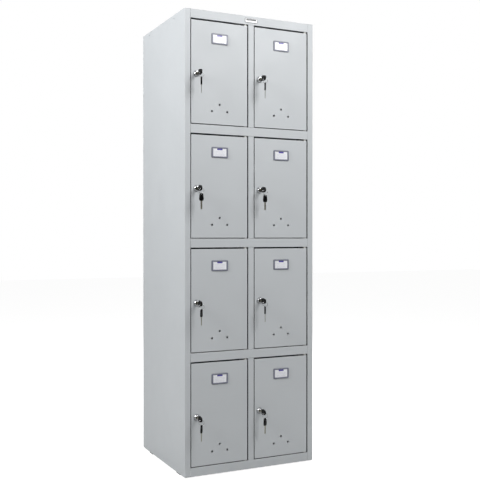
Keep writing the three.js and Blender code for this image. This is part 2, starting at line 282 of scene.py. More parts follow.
def nylonWhite():
    # turned nylon washer: milky, half matt
    material, tree, shader = newMaterial("nylon_natural", "dddcd6", IOR=1.53)
    place = addNode(tree, "ShaderNodeTexCoord").outputs["Object"]
    addVariation(tree, shader, place, 3, "Roughness", 0.4, 0.55)
    return material


def rubberBlack():
    # moulded rubber: matt and slightly dusty
    material, tree, shader = newMaterial("rubber_black", "1b1b1c", IOR=1.52)
    place = addNode(tree, "ShaderNodeTexCoord").outputs["Object"]
    addVariation(tree, shader, place, 12, "Base Color", "171717", "242423")
    addVariation(tree, shader, place, 6, "Roughness", 0.7, 0.85)
    return material


def platePlastic():
    # white laminated plate with a plain printed bar and border, read from the plate's own UV map
    material, tree, shader = newMaterial("laminate_white", "eceef0", IOR=1.49)
    surface = addNode(tree, "ShaderNodeUVMap", uv_map="face").outputs["UV"]
    split = addNode(tree, "ShaderNodeSeparateXYZ", {"Vector": surface})
    edges = []
    for axis, edge in (("X", 0.025), ("Y", 0.08)):
        centred = addNode(
            tree, "ShaderNodeMath", {0: split.outputs[axis], 1: 0.5}, operation="SUBTRACT",
        )
        away = addNode(tree, "ShaderNodeMath", {0: centred.outputs[0]}, operation="ABSOLUTE")
        edges.append(addNode(
            tree, "ShaderNodeMath", {0: away.outputs[0], 1: 0.5 - edge}, operation="GREATER_THAN",
        ).outputs[0])
    border = addNode(tree, "ShaderNodeMath", {0: edges[0], 1: edges[1]}, operation="MAXIMUM")
    ink = addNode(
        tree, "ShaderNodeMixRGB",
        {"Fac": border.outputs[0], "Color1": linear("eef0f2"), "Color2": linear("4b4e58")},
    ).outputs["Color"]
    bar = [
        addNode(
            tree, "ShaderNodeMath", {0: split.outputs[axis], 1: centre, 2: halfSize}, operation="COMPARE",
        ).outputs[0]
        for axis, centre, halfSize in (("X", 0.5, 0.41), ("Y", 0.66, 0.19))
    ]
    inBar = addNode(tree, "ShaderNodeMath", {0: bar[0], 1: bar[1]}, operation="MULTIPLY").outputs[0]
    ink = addNode(tree, "ShaderNodeMixRGB", {"Fac": inBar, "Color1": ink, "Color2": linear("26282e")})
    tree.links.new(ink.outputs["Color"], shader.inputs["Base Color"])
    place = addNode(tree, "ShaderNodeTexCoord").outputs["Object"]
    addVariation(tree, shader, place, 9, "Roughness", 0.22, 0.32)
    return material


def printedCard():
    # coated white card with a plain coloured heading bar and ruled lines for a name, read from its UV map
    material, tree, shader = newMaterial(
        "card_coated_printed", "f2f3f7", IOR=1.5, Coat_Weight=0.6, Coat_Roughness=0.08,
    )
    surface = addNode(tree, "ShaderNodeUVMap", uv_map="face").outputs["UV"]
    split = addNode(tree, "ShaderNodeSeparateXYZ", {"Vector": surface})

    def band(axis, centre, width):
        return addNode(
            tree, "ShaderNodeMath",
            {0: split.outputs[axis], 1: centre, 2: width}, operation="COMPARE",
        ).outputs[0]

    heading = addNode(
        tree, "ShaderNodeMath", {0: band("X", 0.5, 0.2), 1: band("Y", 0.9, 0.1)}, operation="MULTIPLY",
    ).outputs[0]
    paper = addNode(
        tree, "ShaderNodeMixRGB",
        {"Fac": heading, "Color1": linear("f4f5f9"), "Color2": linear("5048a0")},
    ).outputs["Color"]
    across = band("X", 0.5, 0.36)
    for height in (0.62, 0.45, 0.28, 0.13):
        line = addNode(
            tree, "ShaderNodeMath", {0: across, 1: band("Y", height, 0.012)}, operation="MULTIPLY",
        ).outputs[0]
        paper = addNode(
            tree, "ShaderNodeMixRGB", {"Fac": line, "Color1": paper, "Color2": linear("a9adc2")},
        ).outputs["Color"]
    tree.links.new(paper, shader.inputs["Base Color"])
    place = addNode(tree, "ShaderNodeTexCoord").outputs["Object"]
    addVariation(tree, shader, place, 5, "Roughness", 0.45, 0.55)
    return material


def floorPaint():
    # pale matt floor that looks as white as the backdrop but throws little light back up
    material, tree, shader = newMaterial("floor_pale", studio["floorColour"], Roughness=0.8)
    shader.inputs["Emission Color"].default_value = (1, 1, 1, 1)
    rays = addNode(tree, "ShaderNodeLightPath").outputs
    glow = addNode(
        tree, "ShaderNodeMath", {0: rays["Is Camera Ray"], 1: studio["floorGlow"]}, operation="MULTIPLY",
    )
    tree.links.new(glow.outputs[0], shader.inputs["Emission Strength"])
    return material


materials = {
    "paint": powderCoat(),
    "chrome": chromePlate(),
    "zinc": zincPlate(),
    "keyMetal": keyMetal(),
    "wire": wireSteel(),
    "black": mouldedBlack(),
    "grey": mouldedGrey(),
    "nylon": nylonWhite(),
    "foam": foamBlack(),
    "rubber": rubberBlack(),
    "plate": platePlastic(),
    "card": printedCard(),
    "floor": floorPaint(),
}
print("materials made")


sharpAngle = 40  # degrees; faces that meet more steeply keep a crisp edge


def finishPiece(name, bm, body, material, replaces=()):
    mesh = bpy.data.meshes.new(name)
    bm.to_mesh(mesh)
    bm.free()
    mesh.materials.append(materials[material])
    mesh.shade_smooth()
    mesh.set_sharp_from_angle(angle=math.radians(sharpAngle))
    piece = bpy.data.objects.new(name, mesh)
    scene.collection.objects.link(piece)
    evenShade = piece.modifiers.new("evenShade", "WEIGHTED_NORMAL")
    evenShade.keep_sharp = True
    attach(piece, body)
    if replaces:
        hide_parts(*replaces)


def placed(template, where, turn=0):
    # a copy of a template, turned about the vertical by degrees and moved to a point given in metres
    bm = template.copy()
    bm.transform(Matrix.Translation(where) @ Matrix.Rotation(math.radians(turn), 4, "Z"))
    return bm


def moved(bm, x=0.0, y=0.0, z=0.0):
    bmesh.ops.translate(bm, vec=Vector((x, y, z)) * mm, verts=bm.verts)
    return bm


def addShape(bm, other):
    mesh = bpy.data.meshes.new("joining")
    other.to_mesh(mesh)
    bm.from_mesh(mesh)
    bpy.data.meshes.remove(mesh)
    other.free()


def joined(shapes):
    bm = bmesh.new()
    for shape in shapes:
        addShape(bm, shape)
    return bm


def roundEdges(bm, edges, radius, segments=2):
    bmesh.ops.bevel(
        bm, geom=edges, affect="EDGES", offset=radius * mm, segments=segments, profile=0.5,
        material=-1, clamp_overlap=True,
    )


def box(low, high, rounding=0.0, segments=2):
    # a block between two corners in millimetres, with all its edges rounded
    bm = bmesh.new()
    bmesh.ops.create_cube(bm, size=1)
    size = Vector(high) - Vector(low)
    bmesh.ops.scale(bm, vec=size * mm, verts=bm.verts)
    bmesh.ops.translate(bm, vec=(Vector(high) + Vector(low)) / 2 * mm, verts=bm.verts)
    if rounding:
        roundEdges(bm, bm.edges[:], rounding, segments)
    return bm


def rod(radius, length, sides=32, rounding=0.0, axis="Y"):
    # a round bar that starts at the origin and runs along an axis
    bm = bmesh.new()
    bmesh.ops.create_cone(
        bm, cap_ends=True, segments=sides, radius1=radius * mm, radius2=radius * mm, depth=length * mm,
    )
    if rounding:
        rims = [e for e in bm.edges if abs(e.verts[0].co.z - e.verts[1].co.z) < 1e-7]
        roundEdges(bm, rims, rounding)
    bmesh.ops.translate(bm, vec=(0, 0, length * mm / 2), verts=bm.verts)
    if axis == "Y":
        bm.transform(Matrix.Rotation(math.radians(-90), 4, "X"))
    if axis == "X":
        bm.transform(Matrix.Rotation(math.radians(90), 4, "Y"))
    return bm


def drill(radius, sides, axis, x, y, z):
    # a cutter for a round hole through one sheet, its middle at a point in millimetres
    length = 4
    start = [at - length / 2 if way == axis else at for way, at in zip("XYZ", (x, y, z))]
    return moved(rod(radius, length, sides, axis=axis), *start)


def turned(profile, steps, roundings):
    # a closed profile of (radius, distance along Y) in millimetres, spun about the Y axis
    bm = bmesh.new()
    points = [bm.verts.new((r * mm, y * mm, 0)) for r, y in profile]
    for first, second in zip(points, points[1:] + points[:1]):
        bm.edges.new((first, second))
    for index, radius in roundings.items():
        bmesh.ops.bevel(
            bm, geom=[points[index]], affect="VERTICES", offset=radius * mm, segments=4, profile=0.5,
            material=-1,
        )
    bmesh.ops.spin(
        bm, geom=bm.verts[:] + bm.edges[:], cent=(0, 0, 0), axis=(0, 1, 0), angle=2 * math.pi,
        steps=steps, use_merge=True,
    )
    bmesh.ops.remove_doubles(bm, verts=bm.verts, dist=1e-7)
    bmesh.ops.recalc_face_normals(bm, faces=bm.faces)
    return bm


def hull(shapes):
    # the tight skin round several shapes
    bm = joined(shapes)
    made = bmesh.ops.convex_hull(bm, input=bm.verts[:])
    spare = [g for g in made["geom_interior"] + made["geom_unused"] if isinstance(g, bmesh.types.BMVert)]
    bmesh.ops.delete(bm, geom=spare, context="VERTS")
    bmesh.ops.dissolve_limit(bm, angle_limit=math.radians(1), verts=bm.verts, edges=bm.edges)
    bmesh.ops.recalc_face_normals(bm, faces=bm.faces)
    return bm


def flatRims(bm):
    # the edges between a face square to Y and one that is not
    return [
        e for e in bm.edges if len(e.link_faces) == 2
        and (abs(e.link_faces[0].normal.y) > 0.9) != (abs(e.link_faces[1].normal.y) > 0.9)
    ]


def combined(bm, others, operation):
    # joins the other shapes to the first, or takes them out of it
    sources = []
    for shape in (bm, joined(others)):
        source = bpy.data.objects.new("source", bpy.data.meshes.new("source"))
        shape.to_mesh(source.data)
        shape.free()
        scene.collection.objects.link(source)
        sources.append(source)
    step = sources[0].modifiers.new("step", "BOOLEAN")
    step.operation = operation
    step.solver = "EXACT"
    step.use_self = operation == "UNION" or len(others) > 1
    step.object = sources[1]
    bpy.context.view_layer.update()
    result = sources[0].evaluated_get(bpy.context.evaluated_depsgraph_get())
    left = bmesh.new()
    left.from_mesh(result.to_mesh())
    for source in sources:
        bpy.data.objects.remove(source)
    bmesh.ops.remove_doubles(left, verts=left.verts, dist=1e-6)
    bmesh.ops.dissolve_limit(left, angle_limit=math.radians(0.5), verts=left.verts, edges=left.edges)
    return left


def reach(bm):
    low = Vector(min(v.co[i] for v in bm.verts) for i in range(3))
    high = Vector(max(v.co[i] for v in bm.verts) for i in range(3))
    return (high - low).length


def thickened(bm, thickness):
    # gives an open sheet its thickness on whichever side leaves its outside alone
    bmesh.ops.recalc_face_normals(bm, faces=bm.faces)
    outside = reach(bm)
    trials = []
    for way in (1, -1):
        trial = bm.copy()
        bmesh.ops.solidify(trial, geom=trial.faces[:], thickness=way * thickness * mm)
        bmesh.ops.recalc_face_normals(trial, faces=trial.faces)
        trials.append(trial)
    bm.free()
    trials.sort(key=lambda trial: abs(reach(trial) - outside))
    trials.pop().free()
    return trials[0]


def foldedSheet(points, span):
    # a sheet whose outside follows the points, with a round fold at each, run along the span
    bm = bmesh.new()
    line = [bm.verts.new(Vector(p) * mm) for p in points]
    for first, second in zip(line, line[1:]):
        bm.edges.new((first, second))
    bmesh.ops.bevel(
        bm, geom=line[1:-1], affect="VERTICES", offset=steel["fold"] * mm, segments=steel["foldSteps"],
        profile=0.5, material=-1,
    )
    made = bmesh.ops.extrude_edge_only(bm, edges=bm.edges[:])
    far = [g for g in made["geom"] if isinstance(g, bmesh.types.BMVert)]
    bmesh.ops.translate(bm, vec=Vector(span) * mm, verts=far)
    return thickened(bm, steel["thickness"])


def tray(low, high, openSides, lips=()):
    # a shallow sheet box between two corners in millimetres, without the sides named by their outward
    # direction; each lip turns the free edge of a side inwards, as (side, edge, how far)
    bm = box(low, high)
    bmesh.ops.recalc_face_normals(bm, faces=bm.faces)
    gone = [f for f in bm.faces if any(f.normal.dot(Vector(side)) > 0.9 for side in openSides)]
    bmesh.ops.delete(bm, geom=gone, context="FACES")
    for side, edgeWay, amount in lips:
        wall = next(f for f in bm.faces if f.normal.dot(Vector(side)) > 0.9)
        edge = max(wall.edges, key=lambda e: (e.verts[0].co + e.verts[1].co).dot(Vector(edgeWay)))
        made = bmesh.ops.extrude_edge_only(bm, edges=[edge])
        far = [g for g in made["geom"] if isinstance(g, bmesh.types.BMVert)]
        bmesh.ops.translate(bm, vec=Vector(side) * -amount * mm, verts=far)
    folds = [e for e in bm.edges if len(e.link_faces) == 2]
    roundEdges(bm, folds, steel["fold"], steel["foldSteps"])
    return thickened(bm, steel["thickness"])


def mapFace(bm, width, height):
    # an even UV map over the front, as seen along +Y, about the shape's own centre
    layer = bm.loops.layers.uv.new("face")
    for face in bm.faces:
        for loop in face.loops:
            loop[layer].uv = (loop.vert.co.x / (width * mm) + 0.5, loop.vert.co.z / (height * mm) + 0.5)
    return bm


steel = {"thickness": 0.8, "fold": 1.2, "foldSteps": 4, "gap": 0.3}
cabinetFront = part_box("top_panel")[0].y
wallLow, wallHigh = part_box("left_side_panel")
halfWidth = -wallLow.x
depth = wallHigh.y - wallLow.y
joints = {joint["name"]: joint for joint in frame["joints"]}
doors = []
for row in rowNames:
    for column in columnNames:
        name = row + "_" + column
        low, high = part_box("door_" + name)
        doors.append({
            "name": name,
            "column": columnNames.index(column),
            "low": low,
            "high": high,
            "hinge": Vector(joints["door_" + name + "_hinge"]["pos_m"]),
            "lock": Vector(joints["key_" + name + "_turn"]["pos_m"]),
            "keyHole": Vector(joints["spare_" + name + "_swing"]["pos_m"]),
        })


carcass = {
    "flange": 24,
    "frameReturn": 16.2,
    "rearFlange": 20,
    "baseFlange": 20,
    "baseFromBack": 1,
    "rail": 35,
    "lap": 6,
    "shelfFlange": 12,
    "tabLap": 4,
    "mullion": 25,
    "pinHole": 3,
    "stopDepth": 12,
    "stopFromLeft": 8,
    "stopFromRight": 34,
    "joiningHoles": [(116, 1815, 3), (412, 1815, 3), (151, 1804, 2.2), (370, 1804, 2.2)],
    "rivets": [(40, 16), (245, 19.5), (452, 19)],
}
rivet = {
    "radius": 3.5,
    "sunk": 0.1,
    "rim": 0.3,
    "shoulder": (0.55, 1.3),  # share of the radius, and how far out
    "height": 1.5,
    "rounding": 0.8,
}


def sideWall(side):
    # drawn for the left, in millimetres from the middle of the front on the floor
    values = carcass
    half, back = halfWidth / mm, depth / mm
    bottom, top = wallLow.z / mm, wallHigh.z / mm
    bm = foldedSheet(
        [
            (-half + values["flange"], values["frameReturn"], bottom),
            (-half + values["flange"], 0, bottom),
            (-half, 0, bottom),
            (-half, back, bottom),
            (-half + values["rearFlange"], back, bottom),
        ],
        (0, 0, top - bottom),
    )
    sheet = steel["thickness"]
    base = box(
        (-half + sheet / 2, values["frameReturn"] + 2 * steel["gap"], bottom),
        (-half + values["baseFlange"], back - steel["fold"] - values["baseFromBack"], bottom + sheet),
    )
    bm = combined(bm, [base], "UNION")
    holes = [drill(radius, 24, "X", -half, y, z) for y, z, radius in values["joiningHoles"]]
    bm = combined(bm, holes, "DIFFERENCE")
    if side > 0:
        bm.transform(Matrix.Scale(-1, 4, (1, 0, 0)))
        bm.normal_update()
        bmesh.ops.recalc_face_normals(bm, faces=bm.faces)
    return moved(bm, y=cabinetFront / mm)


def rivetHead(side):
    radius, (across, out) = rivet["radius"], rivet["shoulder"]
    profile = [
        (0, rivet["sunk"]), (radius, rivet["sunk"]), (radius, -rivet["rim"]),
        (radius * across, -out), (0, -rivet["height"]),
    ]
    dome = turned(profile, 20, {3: rivet["rounding"]})
    dome.transform(Matrix.Rotation(math.radians(90 * side), 4, "Z"))
    return dome


for side, name in ((-1, "left"), (1, "right")):
    node = name + "_side_panel"
    finishPiece(name + "_wall", sideWall(side), "cabinet", "paint", [node])
    heads = [
        moved(rivetHead(side), side * halfWidth / mm, cabinetFront / mm + y, z)
        for y, z in carcass["rivets"]
    ]
    finishPiece(name + "_rivets", joined(heads), "cabinet", "paint")
print("side walls made")


openingWidth = halfWidth / mm - carcass["flange"] - carcass["mullion"] / 2
openingLefts = (-halfWidth / mm + carcass["flange"], carcass["mullion"] / 2)
railTop = carcass["rail"]


def crossPanel(flange, pinHeights, stops=True, cornerTabs=False):
    # drawn with the rail's bottom edge at zero height and its front at zero depth
    values = carcass
    sheet, gap = steel["thickness"], steel["gap"]
    half, back = halfWidth / mm, depth / mm
    top = railTop
    railHalf = half - values["flange"] - gap
    plateStart = values["frameReturn"] + 2 * gap
    plateBack = back - 2 * sheet - 2 * gap
    inside = half - sheet - gap
    front = foldedSheet(
        [
            (-railHalf, values["frameReturn"], 0),
            (-railHalf, 0, 0),
            (-railHalf, 0, top),
            (-railHalf, plateStart + values["lap"], top),
        ],
        (2 * railHalf, 0, 0),
    )
    pieces = [tray((-inside, plateStart, top - flange), (inside, plateBack, top), [(0, 0, -1), (0, -1, 0)])]
    if cornerTabs:
        for side in (-1, 1):
            ends = sorted((side * inside, side * (half - values["flange"] + sheet + gap)))
            pieces.append(box(
                (ends[0], sheet + steel["fold"], top - sheet),
                (ends[1], plateStart + values["tabLap"], top),
            ))
    if stops:
        for left in openingLefts:
            pieces.append(box(
                (left + values["stopFromLeft"], values["frameReturn"] - sheet, -values["stopDepth"]),
                (left + openingWidth - values["stopFromRight"], values["frameReturn"], sheet / 2),
            ))
    bm = combined(front, pieces, "UNION")
    cutters = []
    for door in doors[:2]:
        x, y = door["hinge"].x / mm, (door["hinge"].y - cabinetFront) / mm
        cutters += [drill(values["pinHole"], 24, "Z", x, y, height) for height in pinHeights]
    return combined(bm, cutters, "DIFFERENCE")


shelfTemplate = crossPanel(carcass["shelfFlange"], [0, railTop])
panels = {
    "top_panel": crossPanel(carcass["shelfFlange"], [0], cornerTabs=True),
    "shelf_1": shelfTemplate,
    "shelf_2": shelfTemplate,
    "shelf_3": shelfTemplate,
    "bottom_panel": crossPanel(railTop - 2 * steel["thickness"], [railTop], stops=False),
}
for node, template in panels.items():
    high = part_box(node)[1]
    where = Vector((0, cabinetFront, high.z - railTop * mm))
    finishPiece(node + "_sheet", placed(template, where), "cabinet", "paint", [node])


def partition(height, fullHeight, back):
    half = carcass["mullion"] / 2
    sheet, gap = steel["thickness"], steel["gap"]
    mullion = foldedSheet(
        [
            (-half, carcass["frameReturn"], 0),
            (-half, 0, 0),
            (half, 0, 0),
            (half, carcass["frameReturn"], 0),
        ],
        (0, 0, height),
    )
    frontOfWeb = carcass["frameReturn"] + 2 * gap
    web = combined(
        box((-sheet / 2, sheet / 2, gap), (sheet / 2, back, fullHeight)),
        [box((-sheet, -past, height - gap), (sheet, frontOfWeb, fullHeight + past))],
        "DIFFERENCE",
    )
    return combined(mullion, [web], "UNION")


lowNode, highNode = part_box("partition_1")
mullionHeight = (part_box("top_panel")[1].z - lowNode.z) / mm - railTop - steel["gap"]
partitionTemplate = partition(
    mullionHeight, (highNode.z - lowNode.z) / mm, (highNode.y - lowNode.y) / mm,
)
for row in rowNames:
    node = "partition_" + row
    where = Vector((0, cabinetFront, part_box(node)[0].z))
    sheetShape = placed(partitionTemplate, where)
    finishPiece(node + "_sheet", sheetShape, "cabinet", "paint", [node])

footSizes = {"rounding": 1.2, "stemRadius": 3.6, "stemFrom": 2, "stemRounding": 0.6}
for name in frame["nodes"]:
    if name.startswith("foot"):
        low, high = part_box(name)
        centre = (low + high) / 2
        width, length = (high.x - low.x) / mm, (high.y - low.y) / mm
        thickness = (wallLow.z - low.z) / mm - steel["gap"]
        pad = box(
            (-width / 2, -length / 2, 0), (width / 2, length / 2, thickness), footSizes["rounding"], 3,
        )
        stemFrom = footSizes["stemFrom"]
        stemLength = (high.z - low.z) / mm - stemFrom
        stem = rod(footSizes["stemRadius"], stemLength, 24, footSizes["stemRounding"], axis="Z")
        bm = combined(pad, [moved(stem, z=stemFrom)], "UNION")
        where = Vector((centre.x, centre.y, low.z))
        finishPiece(name + "_pad", placed(bm, where), "cabinet", "rubber", [name])
print("shelves, partitions and feet made")


doorSizes = {
    "pinReach": 3.8,
    "gapLeft": 3,
    "gapBelow": 3,
    "depth": 15,
    "lip": 7.5,
    "vents": [(-33, 51.5), (0, 78.5), (33, 51.5)],
    "ventRadius": 4.2,
    "lockHole": 10,
    "pinRadius": 2.5,
    "pinInside": 10,
    "pinRounding": 0.6,
    "washerRadius": 6,
    "washerRounding": 0.4,
    "washerPlay": 0.01,
    "gapAbove": 6,
}


def doorPan(width, height, lockPlace):
    # drawn from its lower left corner, its face at zero depth
    values = doorSizes
    depthOfDoor = values["depth"]
    bm = tray(
        (0, 0, 0), (width, depthOfDoor, height), [(0, 1, 0)],
        lips=[((-1, 0, 0), (0, 1, 0), values["lip"]), ((1, 0, 0), (0, 1, 0), values["lip"])],
    )
    cutters = [drill(values["ventRadius"], 32, "Y", width / 2 + x, 0, z) for x, z in values["vents"]]
    cutters.append(drill(values["lockHole"], 48, "Y", lockPlace[0], 0, lockPlace[1]))
    return combined(bm, cutters, "DIFFERENCE")


first = doors[0]
pinReach = doorSizes["pinReach"]
openingHeight = (first["high"].z - first["low"].z) / mm - 2 * pinReach
panWidth = (first["high"].x - first["low"].x) / mm
panFoot = pinReach + doorSizes["gapBelow"]
panHeight = openingHeight - doorSizes["gapBelow"] - doorSizes["gapAbove"]
lockPlace = (
    (first["lock"].x - first["low"].x) / mm,
    (first["lock"].z - first["low"].z) / mm - panFoot,
)
panTemplate = doorPan(panWidth, panHeight, lockPlace)


def hingePin(length):
    return rod(doorSizes["pinRadius"], length, 24, doorSizes["pinRounding"], axis="Z")


def washer(height):
    bore, radius = doorSizes["pinRadius"], doorSizes["washerRadius"]
    rounding = doorSizes["washerRounding"]
    ringShape = turned(
        [(bore, 0), (radius, 0), (radius, height), (bore, height)], 32, {1: rounding, 2: rounding},
    )
    ringShape.transform(Matrix.Rotation(math.radians(90), 4, "X"))
    return ringShape


# the pins and washers at both ends of the pan, drawn from the hinge's axis at the pan's foot
pinInside, play = doorSizes["pinInside"], doorSizes["washerPlay"]
pinTemplate = joined([
    moved(hingePin(panFoot + pinInside), z=-panFoot),
    moved(hingePin(pinInside + doorSizes["gapAbove"] + pinReach), z=panHeight - pinInside),
])
gapWasher = doorSizes["gapBelow"] - steel["gap"]
washerTemplate = joined([
    moved(washer(gapWasher), z=-gapWasher - play),
    moved(washer(doorSizes["gapAbove"] - steel["gap"]), z=panHeight + play),
])
for door in doors:
    body = "door_" + door["name"]
    corner = Vector((door["low"].x, cabinetFront, door["low"].z + panFoot * mm))
    finishPiece(
        "door_pan_" + door["name"], placed(panTemplate, corner), body, "paint",
        ["door_" + door["name"]],
    )
    foot = Vector((door["hinge"].x, door["hinge"].y, corner.z))
    finishPiece("hinge_pins_" + door["name"], placed(pinTemplate, foot), body, "zinc")
    finishPiece("hinge_washers_" + door["name"], placed(washerTemplate, foot), body, "nylon")

# black foam tape on the lip above each door, which the closed door rests against; it also darkens the gap
# above the door as painted shade
tape = {
    "thickness": 0.35,
    "fromEnds": 0.5,
    "fromFoot": 0.3,
    "fromTop": 0.9,
    "off": 0.02,
    "rounding": 0.1,
}
lipFront = carcass["frameReturn"] - steel["thickness"]
for door in doors:
    left = openingLefts[door["column"]] + carcass["stopFromLeft"] + tape["fromEnds"]
    right = openingLefts[door["column"]] + openingWidth - carcass["stopFromRight"] - tape["fromEnds"]
    top = door["high"].z / mm - pinReach
    strip = box(
        (left, lipFront - tape["thickness"], top - carcass["stopDepth"] + tape["fromFoot"]),
        (right, lipFront - tape["off"], top - tape["fromTop"]),
        tape["rounding"], 1,
    )
    finishPiece(
        "stop_tape_" + door["name"], moved(strip, y=cabinetFront / mm), "cabinet", "foam",
    )
print("doors made")


holder = {
    "window": (57.5, 31),
    "floor": 1,
    "corner": 2.5,
    "rounding": 0.9,
    "slope": {"depth": 2.4, "spread": 4, "sunk": 0.2},
    "card": {"thickness": 0.4, "margin": 0.2, "off": 0.02},
}


def plateShape(width, height, thickness, corner, rounding):
    # a flat plate with round corners about the origin, its back at zero depth and its front towards -Y
    across, up = width / 2 - corner, height / 2 - corner
    bm = hull([
        moved(rod(corner, thickness, 32), x, -thickness, z)
        for x in (-across, across) for z in (-up, up)
    ])
    rim = [
        e for e in bm.edges
        if all(v.co.y < -thickness * mm + 1e-6 for v in e.verts) and len(e.link_faces) == 2
        and any(f.normal.y > -0.9 for f in e.link_faces)
    ]
    roundEdges(bm, rim, rounding, 3)
    return bm


def cardFrame(width, height, thickness):
    bm = plateShape(width, height, thickness, holder["corner"], holder["rounding"])
    windowWidth, windowHeight = holder["window"]
    opening = box(
        (-windowWidth / 2, -thickness - past, -windowHeight / 2),
        (windowWidth / 2, -holder["floor"], windowHeight / 2),
    )
    # the window's edge slopes in to the card
    size = Vector((windowWidth, holder["slope"]["depth"], windowHeight))
    slope = box(-size / 2, size / 2)
    spread = holder["slope"]["spread"]
    front = [v for v in slope.verts if v.co.y < 0]
    bmesh.ops.scale(slope, vec=(1 + spread / windowWidth, 1, 1 + spread / windowHeight), verts=front)
    moved(slope, y=holder["slope"]["sunk"] - thickness)
    return combined(bm, [opening, slope], "DIFFERENCE")


low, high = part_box("card_holder_1_left")
holderSize = (high - low) / mm
frameTemplate = cardFrame(holderSize.x, holderSize.z, holderSize.y)
cardWidth, cardHeight = holder["window"]
cardX, cardZ = (size / 2 - holder["card"]["margin"] for size in holder["window"])
card = box((-cardX, -holder["card"]["thickness"], -cardZ), (cardX, 0, cardZ))
cardTemplate = mapFace(moved(card, y=-holder["floor"] - holder["card"]["off"]), cardWidth, cardHeight)
for door in doors:
    node = "card_holder_" + door["name"]
    body = "door_" + door["name"]
    low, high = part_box(node)
    where = Vector(((low.x + high.x) / 2, high.y, (low.z + high.z) / 2))
    finishPiece(
        "card_frame_" + door["name"], placed(frameTemplate, where), body, "grey", [node],
    )
    finishPiece("name_card_" + door["name"], placed(cardTemplate, where), body, "card")

plateEdge = {"corner": 1.5, "rounding": 0.3}
low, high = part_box("name_plate")
plateSize = (high - low) / mm
plate = plateShape(plateSize.x, plateSize.z, plateSize.y, plateEdge["corner"], plateEdge["rounding"])
mapFace(plate, plateSize.x, plateSize.z)
where = Vector(((low.x + high.x) / 2, high.y, (low.z + high.z) / 2))
finishPiece("name_plate_face", placed(plate, where), "cabinet", "plate", ["name_plate"])
print("card holders and name plate made")


# the lock and its keys are drawn from the lock's axis in the front plane
lockSizes = {
    "bezelRadius": 12,
    "faceRadius": 8.8,
    "front": 9,
    "rim": 3.6,
    "bore": 6.1,
    "boreChamfer": 0.6,
    "roundings": {2: 0.9, 3: 1.2, 4: 0.4},
    "barrel": 9.1,
    "rear": 16.4,
    "threadFrom": 0.6,
    "threadPitch": 1.5,
    "threadDepth": 0.5,
    "nutRadius": 12,
    "nutRounding": 0.4,
    "nutBore": 9.2,
    "nutFrom": 1.1,
    "nutTo": 5,
    "plugRadius": 5.8,
    "plugFront": 8.4,
    "plugRear": 16.8,
    "plugRounding": 0.5,
    "slotPlay": (0.15, 0.2),
    "slotDepth": 5,
    "shaftHalf": 3.5,
    "camFrom": 18.4,
    "camThickness": 2,
    "camLength": 33,
    "camHub": 8,
    "camTip": 6,
    "camCorner": 2,
    "camRounding": 0.35,
    "screwRadius": 4.5,
    "screwHead": 2,
    "screwSlot": (0.6, 0.9),
    "screwOff": 0.02,
}
keySizes = {
    "headStart": 22.5,
    "headLength": 30.5,
    "headWidth": 19,
    "insertedWidth": 23.5,  # the key in the lock has the wider head of the two
    "headTop": 7.6,
    "widestAt": 9,
    "shoulder": 5,
    "footWidth": 15,
    "footCorner": 2,
    "headThickness": 6.2,
    "headRounding": 1.2,
    "panelDepth": 0.45,
    "panelEnds": [(8.5, 3.2), (18, 2.4)],
    "holeRadius": 3.1,
    "holeAt": 26.5,
    "bladeWidth": 7,
    "bladeThickness": 2,
    "bladeLength": 32,
    "bladeRounding": 0.15,
    "bladeInHead": 1,
    "bladeInLock": 4,
    "groove": {"from": -0.7, "to": 0.9, "depth": 0.45, "below": 1.5},
    "tip": {"cutter": 4, "angle": 40, "across": 6.3, "past": 2.4},
    "cuts": [(5.5, 1.1), (9.5, 1.9), (13.5, 0.8), (17.5, 1.6), (21.5, 1.2), (25.5, 2.0)],
    "ringRadius": 10,
    "ringWire": 0.6,
    "ringHang": 1.5,
    "ringTurns": 1.95,
}
spareTurns = {
    "1_left": 67, "1_right": 63, "2_left": 12, "2_right": 10,
    "3_left": 51, "3_right": 61, "4_left": 54, "4_right": 35,
}


def lockBezel(values):
    # one casting: a coned bezel in front and a threaded barrel behind
    chamfer = values["boreChamfer"]
    profile = [
        (values["bore"], chamfer - values["front"]),
        (values["bore"] + chamfer, -values["front"]),
        (values["faceRadius"], -values["front"]),
        (values["bezelRadius"], -values["rim"]),
        (values["bezelRadius"], -steel["gap"]),
        (values["barrel"], -steel["gap"]),
    ]
    root, pitch = values["barrel"] - values["threadDepth"], values["threadPitch"]
    along = values["threadFrom"]
    while along + pitch < values["rear"]:
        profile += [(values["barrel"], along), (root, along + pitch / 2)]
        along += pitch
    profile += [(root, values["rear"]), (values["bore"], values["rear"])]
    return turned(profile, 64, values["roundings"])


def lockNut(values):
    thickness = values["nutTo"] - values["nutFrom"]
    body = rod(values["nutRadius"], thickness, 6, values["nutRounding"])
    bore = moved(rod(values["nutBore"], thickness + 2 * past, 48), y=-past)
    return moved(combined(body, [bore], "DIFFERENCE"), y=values["nutFrom"])


def lockPlug(values):
    start, end = -values["plugFront"], values["plugRear"]
    body = moved(rod(values["plugRadius"], end - start, 48, values["plugRounding"]), y=start)
    across = keySizes["bladeThickness"] / 2 + values["slotPlay"][0]
    up = keySizes["bladeWidth"] / 2 + values["slotPlay"][1]
    keySlot = box((-across, start - past, -up), (across, start + values["slotDepth"], up))
    half, shaftEnd = values["shaftHalf"], values["camFrom"] + values["camThickness"]
    shaft = box((-half, end - past, -half), (half, shaftEnd, half))
    return combined(combined(body, [keySlot], "DIFFERENCE"), [shaft], "UNION")


def lockCam(values):
    thickness, corner = values["camThickness"], values["camCorner"]
    across, down = values["camTip"] - corner, corner - values["camLength"]
    corners = [moved(rod(corner, thickness, 16), x, 0, down) for x in (-across, across)]
    bm = hull([rod(values["camHub"], thickness, 40), *corners])
    roundEdges(bm, flatRims(bm), values["camRounding"])
    return moved(bm, y=values["camFrom"])


